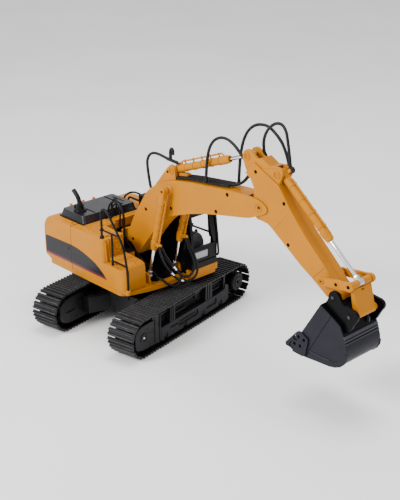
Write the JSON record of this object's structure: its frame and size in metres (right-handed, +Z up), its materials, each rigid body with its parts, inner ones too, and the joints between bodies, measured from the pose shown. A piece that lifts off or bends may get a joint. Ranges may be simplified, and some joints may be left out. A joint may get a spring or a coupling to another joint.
{
  "type": "rc excavator",
  "caption": "Radio-controlled tracked excavator with slewing house, open cab, jointed boom and arm, four ram cylinders and a digging bucket.",
  "frame": {"origin": "centre of the bounding box, on the floor", "axes": "+X along the boom, away from the house; +Y towards the cab side; +Z up"},
  "size_m": [0.5186, 0.298, 0.3256],
  "materials": {
    "body_yellow": "satin",
    "satin_black": "satin",
    "cab_black": "satin",
    "track_black": "matte",
    "frame_grey": "satin",
    "bucket_grey": "satin",
    "bright_rod": "polished",
    "steel": "brushed",
    "hose_black": "matte",
    "pane": "gloss",
    "seat_grey": "matte",
    "board_green": "satin"
  },
  "bodies": {
    "undercarriage": {"chassis": "track_black", "slew_ring": "satin_black", "track_frame_left": "frame_grey", "track_frame_right": "frame_grey", "track_left": "track_black", "track_right": "track_black", "drive_motor_left": "steel", "drive_motor_right": "steel"},
    "house": {"deck": "body_yellow", "side_house": "body_yellow", "counterweight": "body_yellow", "hood": "satin_black", "exhaust": "satin_black", "toolbox": "body_yellow", "step_box": "body_yellow", "handrail": "satin_black", "boom_bracket": "satin_black", "cab_frame": "cab_black", "cab_pane": "pane", "seat": "seat_grey", "console": "seat_grey", "battery_box": "satin_black", "circuit_board": "board_green", "hose_lift": "hose_black"},
    "boom": {"boom_left": "body_yellow", "boom_right": "body_yellow", "boom_tip_pin": "steel", "hose_arch": "hose_black", "hose_boom_left": "hose_black", "hose_boom_right": "hose_black", "hose_stick_left": "hose_black", "hose_stick_right": "hose_black"},
    "arm": {"arm_left": "body_yellow", "arm_right": "body_yellow", "hose_curl": "hose_black"},
    "bucket": {"bucket": "bucket_grey", "cutting_edge": "bucket_grey"},
    "lift_barrel_left": {"lift_barrel_left": "body_yellow"},
    "lift_rod_left": {"lift_rod_left": "bright_rod"},
    "lift_barrel_right": {"lift_barrel_right": "body_yellow"},
    "lift_rod_right": {"lift_rod_right": "bright_rod"},
    "stick_barrel": {"stick_barrel": "body_yellow"},
    "stick_rod": {"stick_rod": "bright_rod"},
    "lever": {"lever": "body_yellow"},
    "link": {"link": "body_yellow"},
    "curl_barrel": {"curl_barrel": "body_yellow"},
    "curl_rod": {"curl_rod": "bright_rod"},
    "sprocket_left": {"sprocket_left": "frame_grey"},
    "idler_left": {"idler_left": "track_black"},
    "roller_left_1": {"roller_left_1": "track_black"},
    "roller_left_2": {"roller_left_2": "track_black"},
    "roller_left_3": {"roller_left_3": "track_black"},
    "roller_left_4": {"roller_left_4": "track_black"},
    "sprocket_right": {"sprocket_right": "frame_grey"},
    "idler_right": {"idler_right": "track_black"},
    "roller_right_1": {"roller_right_1": "track_black"},
    "roller_right_2": {"roller_right_2": "track_black"},
    "roller_right_3": {"roller_right_3": "track_black"},
    "roller_right_4": {"roller_right_4": "track_black"}
  },
  "joints": [
    {"name": "slew", "type": "hinge", "parent": "undercarriage", "child": "house", "pos_m": [-0.12635, 0, 0.06], "axis": [0, 0, 1], "range_deg": [-175, 175]},
    {"name": "boom_hinge", "type": "hinge", "parent": "house", "child": "boom", "pos_m": [-0.13634, 0, 0.106], "axis": [0, -1, 0], "range_deg": [-25, 12], "deforming": ["hose_lift"]},
    {"name": "lift_barrel_hinge_left", "type": "hinge", "parent": "boom", "child": "lift_barrel_left", "pos_m": [-0.05684, 0.023, 0.2025], "axis": [0, -1, 0], "range_deg": [-1.7, 3.23]},
    {"name": "lift_rod_hinge_left", "type": "hinge", "parent": "house", "child": "lift_rod_left", "pos_m": [-0.08994, 0.023, 0.073], "axis": [0, -1, 0], "range_deg": [-22.38, 10.9]},
    {"name": "lift_barrel_hinge_right", "type": "hinge", "parent": "boom", "child": "lift_barrel_right", "pos_m": [-0.05684, -0.023, 0.2025], "axis": [0, -1, 0], "range_deg": [-1.7, 3.23]},
    {"name": "lift_rod_hinge_right", "type": "hinge", "parent": "house", "child": "lift_rod_right", "pos_m": [-0.08994, -0.023, 0.073], "axis": [0, -1, 0], "range_deg": [-22.38, 10.9]},
    {"name": "stick_barrel_hinge", "type": "hinge", "parent": "boom", "child": "stick_barrel", "pos_m": [-0.05835, 0, 0.2265], "axis": [0, -1, 0], "range_deg": [-2.92, 0.68]},
    {"name": "stick_hinge", "type": "hinge", "parent": "boom", "child": "arm", "pos_m": [0.09965, 0, 0.219], "axis": [0, -1, 0], "range_deg": [-35, 5], "deforming": ["hose_stick_left", "hose_stick_right"]},
    {"name": "stick_rod_hinge", "type": "hinge", "parent": "arm", "child": "stick_rod", "pos_m": [0.07566, 0, 0.2764], "axis": [0, -1, 0], "range_deg": [-4.92, 32.67]},
    {"name": "bucket_hinge", "type": "hinge", "parent": "arm", "child": "bucket", "pos_m": [0.22665, 0, 0.15], "axis": [0, -1, 0], "range_deg": [-20, 45]},
    {"name": "lever_hinge", "type": "hinge", "parent": "arm", "child": "lever", "pos_m": [0.20516, 0, 0.1615], "axis": [0, -1, 0], "range_deg": [-11.7, 25.95]},
    {"name": "link_hinge", "type": "hinge", "parent": "lever", "child": "link", "pos_m": [0.24366, 0, 0.1667], "axis": [0, -1, 0], "range_deg": [-3.23, 1.6]},
    {"name": "curl_barrel_hinge", "type": "hinge", "parent": "arm", "child": "curl_barrel", "pos_m": [0.12366, 0, 0.266], "axis": [0, -1, 0], "range_deg": [-1.96, 4.04]},
    {"name": "curl_rod_hinge", "type": "hinge", "parent": "lever", "child": "curl_rod", "pos_m": [0.24366, 0, 0.1667], "axis": [0, -1, 0], "range_deg": [-22.21, 10.04]},
    {"name": "sprocket_spin_left", "type": "hinge", "parent": "undercarriage", "child": "sprocket_left", "pos_m": [-0.08071, 0.11789, 0.02775], "axis": [0.983, 0.1836, 0], "continuous": true},
    {"name": "idler_spin_left", "type": "hinge", "parent": "undercarriage", "child": "idler_left", "pos_m": [-0.04124, -0.09346, 0.02775], "axis": [0.983, 0.1836, 0], "continuous": true},
    {"name": "roller_spin_left_1", "type": "hinge", "parent": "undercarriage", "child": "roller_left_1", "pos_m": [-0.04959, -0.04873, 0.0131], "axis": [0.983, 0.1836, 0], "continuous": true},
    {"name": "roller_spin_left_2", "type": "hinge", "parent": "undercarriage", "child": "roller_left_2", "pos_m": [-0.0573, -0.00745, 0.0131], "axis": [0.983, 0.1836, 0], "continuous": true},
    {"name": "roller_spin_left_3", "type": "hinge", "parent": "undercarriage", "child": "roller_left_3", "pos_m": [-0.06502, 0.03384, 0.0131], "axis": [0.983, 0.1836, 0], "continuous": true},
    {"name": "roller_spin_left_4", "type": "hinge", "parent": "undercarriage", "child": "roller_left_4", "pos_m": [-0.07254, 0.07414, 0.0131], "axis": [0.983, 0.1836, 0], "continuous": true},
    {"name": "sprocket_spin_right", "type": "hinge", "parent": "undercarriage", "child": "sprocket_right", "pos_m": [-0.21145, 0.09347, 0.02775], "axis": [0.983, 0.1836, 0], "continuous": true},
    {"name": "idler_spin_right", "type": "hinge", "parent": "undercarriage", "child": "idler_right", "pos_m": [-0.17198, -0.11788, 0.02775], "axis": [0.983, 0.1836, 0], "continuous": true},
    {"name": "roller_spin_right_1", "type": "hinge", "parent": "undercarriage", "child": "roller_right_1", "pos_m": [-0.18033, -0.07315, 0.0131], "axis": [0.983, 0.1836, 0], "continuous": true},
    {"name": "roller_spin_right_2", "type": "hinge", "parent": "undercarriage", "child": "roller_right_2", "pos_m": [-0.18804, -0.03187, 0.0131], "axis": [0.983, 0.1836, 0], "continuous": true},
    {"name": "roller_spin_right_3", "type": "hinge", "parent": "undercarriage", "child": "roller_right_3", "pos_m": [-0.19575, 0.00942, 0.0131], "axis": [0.983, 0.1836, 0], "continuous": true},
    {"name": "roller_spin_right_4", "type": "hinge", "parent": "undercarriage", "child": "roller_right_4", "pos_m": [-0.20328, 0.04972, 0.0131], "axis": [0.983, 0.1836, 0], "continuous": true}
  ],
  "couplings": [
    {"joint": "lift_barrel_hinge_left", "follows": "boom_hinge", "ratio": -0.117},
    {"joint": "lift_rod_hinge_left", "follows": "boom_hinge", "ratio": 0.883},
    {"joint": "lift_barrel_hinge_right", "follows": "boom_hinge", "ratio": -0.117},
    {"joint": "lift_rod_hinge_right", "follows": "boom_hinge", "ratio": 0.883},
    {"joint": "stick_barrel_hinge", "follows": "stick_hinge", "ratio": 0.075},
    {"joint": "stick_rod_hinge", "follows": "stick_hinge", "ratio": -0.925},
    {"joint": "lever_hinge", "follows": "bucket_hinge", "ratio": 0.57},
    {"joint": "link_hinge", "follows": "bucket_hinge", "ratio": -0.065},
    {"joint": "curl_barrel_hinge", "follows": "bucket_hinge", "ratio": 0.083},
    {"joint": "curl_rod_hinge", "follows": "bucket_hinge", "ratio": -0.487},
    {"joint": "idler_spin_left", "follows": "sprocket_spin_left", "ratio": 1},
    {"joint": "roller_spin_left_1", "follows": "sprocket_spin_left", "ratio": 3.44},
    {"joint": "roller_spin_left_2", "follows": "sprocket_spin_left", "ratio": 3.44},
    {"joint": "roller_spin_left_3", "follows": "sprocket_spin_left", "ratio": 3.44},
    {"joint": "roller_spin_left_4", "follows": "sprocket_spin_left", "ratio": 3.44},
    {"joint": "idler_spin_right", "follows": "sprocket_spin_right", "ratio": 1},
    {"joint": "roller_spin_right_1", "follows": "sprocket_spin_right", "ratio": 3.44},
    {"joint": "roller_spin_right_2", "follows": "sprocket_spin_right", "ratio": 3.44},
    {"joint": "roller_spin_right_3", "follows": "sprocket_spin_right", "ratio": 3.44},
    {"joint": "roller_spin_right_4", "follows": "sprocket_spin_right", "ratio": 3.44}
  ]
}
